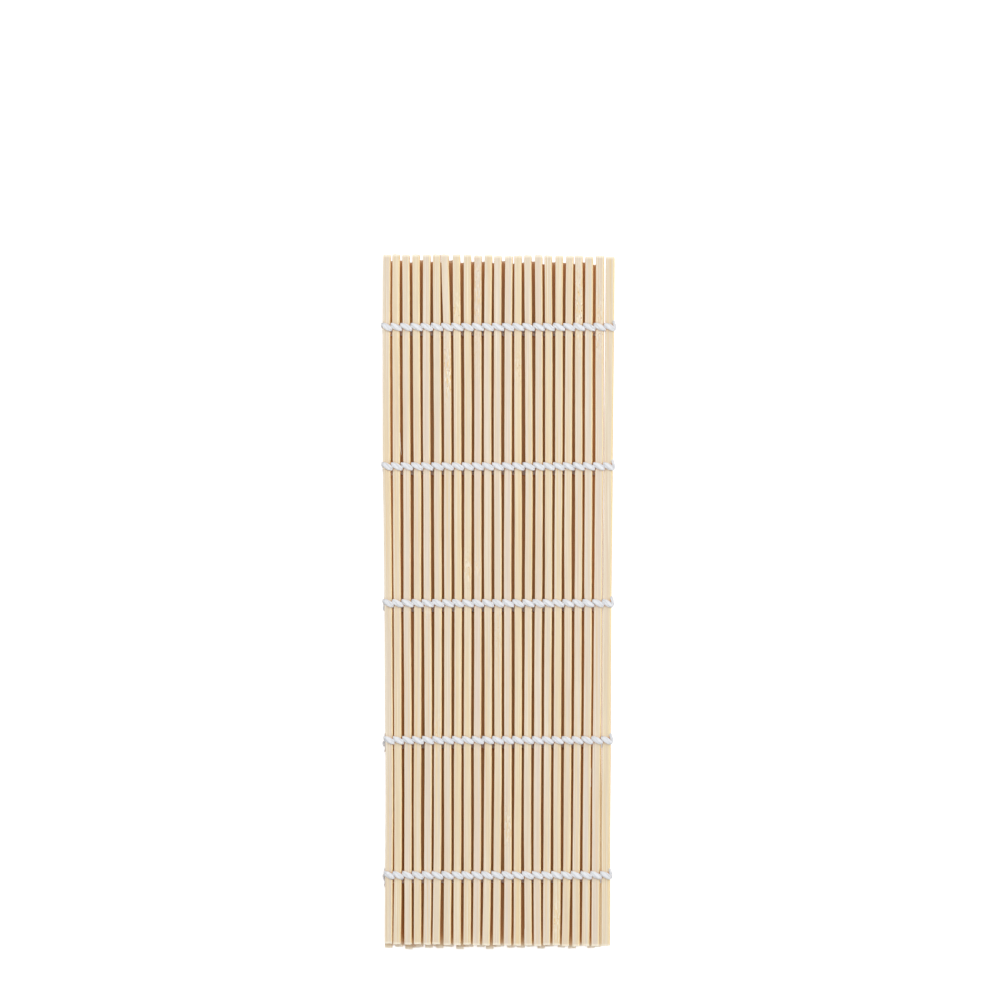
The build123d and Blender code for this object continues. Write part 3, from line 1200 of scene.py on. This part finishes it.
    def fold_stretch(self, before: Stretch, after: Stretch, fold: str) -> Stretch:
        """A cord's stretch round a fold, which is thinner than the stretches that it joins.

        Args:
            before: the stretch that the cord comes from.
            after: the stretch that it goes to.
            fold: the fold's name.

        Returns:
            The stretch, whose owner is the piece that bends at the fold.
        """
        is_left = fold == "fold_top"
        ends = (before.points[-1], after.points[0])
        lapped, inner = ends if is_left else ends[::-1]
        outwards = -1 if is_left else 1
        is_outer = (lapped[2] - self.slats[self.fold_links[fold]][0].middle.z) * -outwards > 0
        line = self.fold_line(lapped, inner, outwards, self.outer_route if is_outer else self.inner_route)
        owner = f"{fold}_{'outer' if is_outer else 'inner'}"
        self.fold_ends[owner] = (inner, lapped)
        thin, plump = np.array(self.cord_shop.edge_girth), np.array(self.plump_girth())
        marks = (0, self.fold_taper, 1 - self.fold_taper, 1)
        share = np.interp(np.linspace(0, 1, len(line)), marks, (1, 0, 0, 1))[:, None]
        return Stretch(line if is_left else line[::-1], thin + (plump - thin) * share, owner)

    def plump_girth(self) -> tuple:
        """Half a cord's thickness and width where it lies on a slat's edge."""
        return self.cord_shop.face_girth[0], self.cord_shop.edge_girth[1]

    def whole_cord(self, row: float, face: Face, knot: Vector) -> list:
        """A cord's stretches with its wrap, folds and end added, evenly spaced.

        Args:
            row: how far the row is from the middle one.
            face: the face of the top third that it starts on.
            knot: the middle of the row's knot.

        Returns:
            The stretches, with no gaps between them.
        """
        route = self.cord_route(row, face)
        folds = iter(self.fold_links)
        first = route[0]
        wrap = self.wrap_line(first.points[0], self.slats[first.owner][-1].middle.z)
        girth = np.linspace((self.edge_round, self.edge_round), self.plump_girth(), len(wrap))
        whole = [Stretch(wrap, girth, first.owner)]
        for index, stretch in enumerate(route):
            if stretch is None:
                stretch = self.fold_stretch(route[index - 1], route[index + 1], next(folds))
            whole.append(stretch)
        end = self.knot_line(whole[-1].points[-1], knot, row + self.middle_row[Third.BOTTOM])
        girth = np.linspace(self.plump_girth(), self.cord_shop.edge_girth, len(end))
        whole.append(Stretch(end, girth, whole[-1].owner))
        for stretch in whole:
            stretch.points, stretch.girth = self.cord_shop.resample(stretch.points, stretch.girth)
        return whole

    def runs_of(self, whole: list) -> list:
        """Joins a cord's neighbouring stretches that have one owner.

        Args:
            whole: the cord's stretches.

        Returns:
            Each run's owner, its first point's number, the one after its last and its girths.
        """
        runs = []
        position = 0
        for stretch in whole:
            end = position + len(stretch.points)
            if runs and runs[-1][0] == stretch.owner:
                runs[-1][2:] = [end, np.concatenate([runs[-1][3], stretch.girth[1:]])]
            else:
                runs.append([stretch.owner, position, end, stretch.girth])
            position = end - 1
        return runs

    def build_cords(self, cotton: bpy.types.Material) -> None:
        """Makes every body's cords and the two pieces that bend at each fold.

        Args:
            cotton: the cord material.
        """
        shop = self.cord_shop
        shapes = {}
        knots = self.knot_places()
        for number in range(self.row_count):
            for face in Face:
                whole = self.whole_cord(self.row_at(number), face, knots[number])
                line = np.vstack([whole[0].points] + [stretch.points[1:] for stretch in whole[1:]])
                sideways, outward = shop.frames_along(line)
                travel = travelled(line) + face.value * number * self.row_twist
                for owner, begin, end, girth in self.runs_of(whole):
                    if owner not in shapes:
                        shapes[owner] = shop.new_shape()
                    part = slice(begin, end)
                    frames = (sideways[part], outward[part])
                    shop.sweep(shapes[owner], line[part], frames, girth, travel[part])
        for owner, shape in shapes.items():
            piece = link_object(f"cords_{owner}", mesh_from(shape, f"cords_{owner}"))
            piece.data.materials.append(cotton)
            if owner in frame["bodies"]:
                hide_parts(self.node_of(owner, "cords"))
                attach(piece, owner)
            else:
                self.bend_at_fold(piece, owner)
            log.info("cords on %s: %d faces", owner, len(piece.data.polygons))

    def bend_at_fold(self, piece: bpy.types.Object, owner: str) -> None:
        """Blends a fold's cord between the middle third and the first link after the fold.

        Args:
            piece: the piece that bends.
            owner: the fold's name, with the side that the cord goes round on.
        """
        inner, lapped = self.fold_ends[owner]
        other = self.fold_links[owner.rpartition("_")[0]]
        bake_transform(piece, "middle", other, (inner[0], 0, inner[2]), (lapped[0], 0, lapped[2]))

    def knot_places(self) -> list:
        """The middles of the knots, row by row, from the knots' node.

        Returns:
            The places.
        """
        low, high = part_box("edge_knots")
        middle = (low + high) / 2
        lift = middle.y + self.row_lift
        return [Vector((middle.x, lift + self.row_at(number), middle.z)) for number in range(self.row_count)]

    def build_knots(self, cotton: bpy.types.Material) -> None:
        """Ties each row's cords off: a tight knot of one strand, and two short frayed tails.

        Args:
            cotton: the cord material.
        """
        shape = self.cord_shop.new_shape()
        turn = np.linspace(0, 2 * math.pi, self.knot_points)
        across, up = np.sin(turn) + 2 * np.sin(2 * turn), np.cos(turn) - 2 * np.cos(2 * turn)
        for number, middle in enumerate(self.knot_places()):
            cos, sin = math.cos(self.knot_turn * number), math.sin(self.knot_turn * number)
            loop = np.stack([across * cos - up * sin, across * sin + up * cos, -np.sin(3 * turn)], axis=1)
            line = loop * np.array(self.knot_size) + np.array(middle)
            girth = np.tile(self.knot_girth, (len(line), 1))
            self.cord_shop.sweep(shape, line, self.cord_shop.frames_along(line), girth, travelled(line))
            for way in (-1, 1):
                self.fray_tail(shape, middle, way, random.Random(self.tail_seed + number * 2 + way))
        piece = link_object("edge_knots_tied", mesh_from(shape, "edge_knots_tied"))
        piece.data.materials.append(cotton)
        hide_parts("edge_knots")
        bodies = frame["record"]["behaviour"]["bodies"]
        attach(piece, next(body for body, nodes in bodies.items() if "edge_knots" in nodes))
        log.info("knots: %d faces", len(piece.data.polygons))

    def fray_tail(self, shape: bmesh.types.BMesh, knot: Vector, way: int, chance: random.Random) -> None:
        """Adds one cord's short tail, parted into its yarns.

        Args:
            shape: the knots' bmesh.
            knot: the middle of the knot.
            way: 1 for the tail towards +Y, or -1.
            chance: the tail's own random numbers.
        """
        for yarn in range(self.tail_yarns):
            turn = 2 * math.pi * yarn / self.tail_yarns + chance.uniform(0, self.tail_turn)
            spread = np.array([math.cos(turn), 0, math.sin(turn)]) * self.tail_spread
            length = self.tail_length * chance.uniform(*self.tail_lengths)
            root = np.array(knot) + np.array([0, way * self.tail_root, 0])
            shares = (self.tail_bend, (1, chance.uniform(*self.tail_spreads)))
            spots = [root + np.array([0, way * length * along, 0]) + spread * out for along, out in shares]
            line = self.cord_shop.rounded([root, *spots], self.tail_points)
            frames = self.cord_shop.frames_along(line, side=(1.0, 0.0, 0.0))
            girth = np.tile(self.yarn_girth, (len(line), 1))
            self.cord_shop.sweep(shape, line, frames, girth, np.linspace(0, length, len(line)))

    def build_slats(self, bamboo: bpy.types.Material) -> None:
        """Makes every body's slats.

        Args:
            bamboo: the slats' material.
        """
        template = self.slat_shop.template()
        for body, slats in self.slats.items():
            piece = self.slat_shop.build(f"slats_{body}", slats, template)
            piece.data.materials.append(bamboo)
            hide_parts(self.node_of(body, "slats"))
            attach(piece, body)
            log.info("slats of %s: %d slats, %d faces", body, len(slats), len(piece.data.polygons))

    def build(self) -> None:
        """Makes and dresses the whole mat."""
        self.dress_front()
        self.build_slats(self.bamboo.material())
        cotton = self.cotton.material()
        self.build_cords(cotton)
        self.build_knots(cotton)


@dataclass
class Studio:
    """A white floor, soft light from above and a long lens looking straight down."""

    view_centre: tuple = (0.00042, 0.0356)
    view_width: float = 0.3468
    focus_height: float = 0.01165
    camera_height: float = 1.5
    sensor: float = 36.0
    floor_size: float = 6.0
    world_strength: float = 0.3
    floor_glow: float = 0.55
    floor_paper: tuple = (0.86, 0.86, 0.86, 1)
    white: tuple = (1, 1, 1, 1)
    clip_end: float = 20.0
    softboxes: tuple = (
        ("softbox above", (0.1, 0.35, 1.5), 8.0, 0.85),
        ("softbox right behind", (0.80, 0.55, 0.75), 4.4, 0.6),
        ("softbox right before", (0.80, -0.50, 0.75), 2.6, 0.6),
        ("softbox left behind", (-0.80, 0.55, 0.75), 3.1, 0.6),
        ("softbox left before", (-0.80, -0.50, 0.75), 2.4, 0.6),
    )

    def build(self) -> None:
        """Sets up the floor, the light and the camera."""
        scene = bpy.context.scene
        scene.view_settings.view_transform = "Standard"
        self.lay_floor()
        self.light_world()
        for name, place, power, size in self.softboxes:
            self.hang_softbox(name, Vector(place), power, size)
        self.set_camera()

    def lay_floor(self) -> None:
        """A wide floor that is white to the camera and keeps the mat's shadow."""
        shape = bmesh.new()
        bmesh.ops.create_grid(shape, x_segments=1, y_segments=1, size=self.floor_size / 2)
        floor = link_object("floor", mesh_from(shape, "floor"))
        board = NodeBoard("white floor")
        paper = board.add("BsdfDiffuse", {"Color": self.floor_paper})
        glow = board.add("Emission", {"Color": self.white, "Strength": self.floor_glow})
        lit = board.add("AddShader", {0: paper.outputs[0], 1: glow.outputs[0]})
        path = board.add("LightPath")
        seen = board.math("MAXIMUM", path.outputs["Is Camera Ray"], path.outputs["Is Glossy Ray"])
        shown = board.add("MixShader", {0: seen, 1: paper.outputs[0], 2: lit.outputs[0]})
        board.tree.links.new(shown.outputs[0], board.output.inputs["Surface"])
        floor.data.materials.append(board.material)

    def light_world(self) -> None:
        """An even white sky, pure white where the camera sees it."""
        world = bpy.data.worlds.new("studio")
        bpy.context.scene.world = world
        world.use_nodes = True
        tree = world.node_tree
        background = tree.nodes["Background"]
        path = tree.nodes.new("ShaderNodeLightPath")
        strength = tree.nodes.new("ShaderNodeMapRange")
        strength.inputs[3].default_value = self.world_strength
        strength.inputs[4].default_value = 1.0
        tree.links.new(path.outputs["Is Camera Ray"], strength.inputs[0])
        tree.links.new(strength.outputs[0], background.inputs["Strength"])
        background.inputs["Color"].default_value = self.white

    def hang_softbox(self, name: str, place: Vector, power: float, size: float) -> None:
        """Hangs one square softbox that faces the mat.

        Args:
            name: its name.
            place: where it hangs.
            power: its power in watts.
            size: its side.
        """
        lamp = bpy.data.lights.new(name, "AREA")
        lamp.energy = power
        lamp.size = size
        holder = bpy.data.objects.new(name, lamp)
        holder.location = place
        holder.rotation_euler = (-place).to_track_quat("-Z", "Y").to_euler()
        bpy.context.scene.collection.objects.link(holder)

    def set_camera(self) -> None:
        """A camera straight above, as far and as long as the photograph needs."""
        lens = bpy.data.cameras.new("camera")
        lens.sensor_width = self.sensor
        lens.lens = self.sensor * (self.camera_height - self.focus_height) / self.view_width
        lens.clip_end = self.clip_end
        camera = bpy.data.objects.new("camera", lens)
        camera.location = (*self.view_centre, self.camera_height)
        bpy.context.scene.collection.objects.link(camera)
        bpy.context.scene.camera = camera


def main() -> None:
    """Builds the mat and the studio."""
    mat = Mat(BambooFinish(), CottonFinish(), SlatShop(), CordShop())
    mat.build()
    Studio().build()


if __name__ == "__main__":
    main()
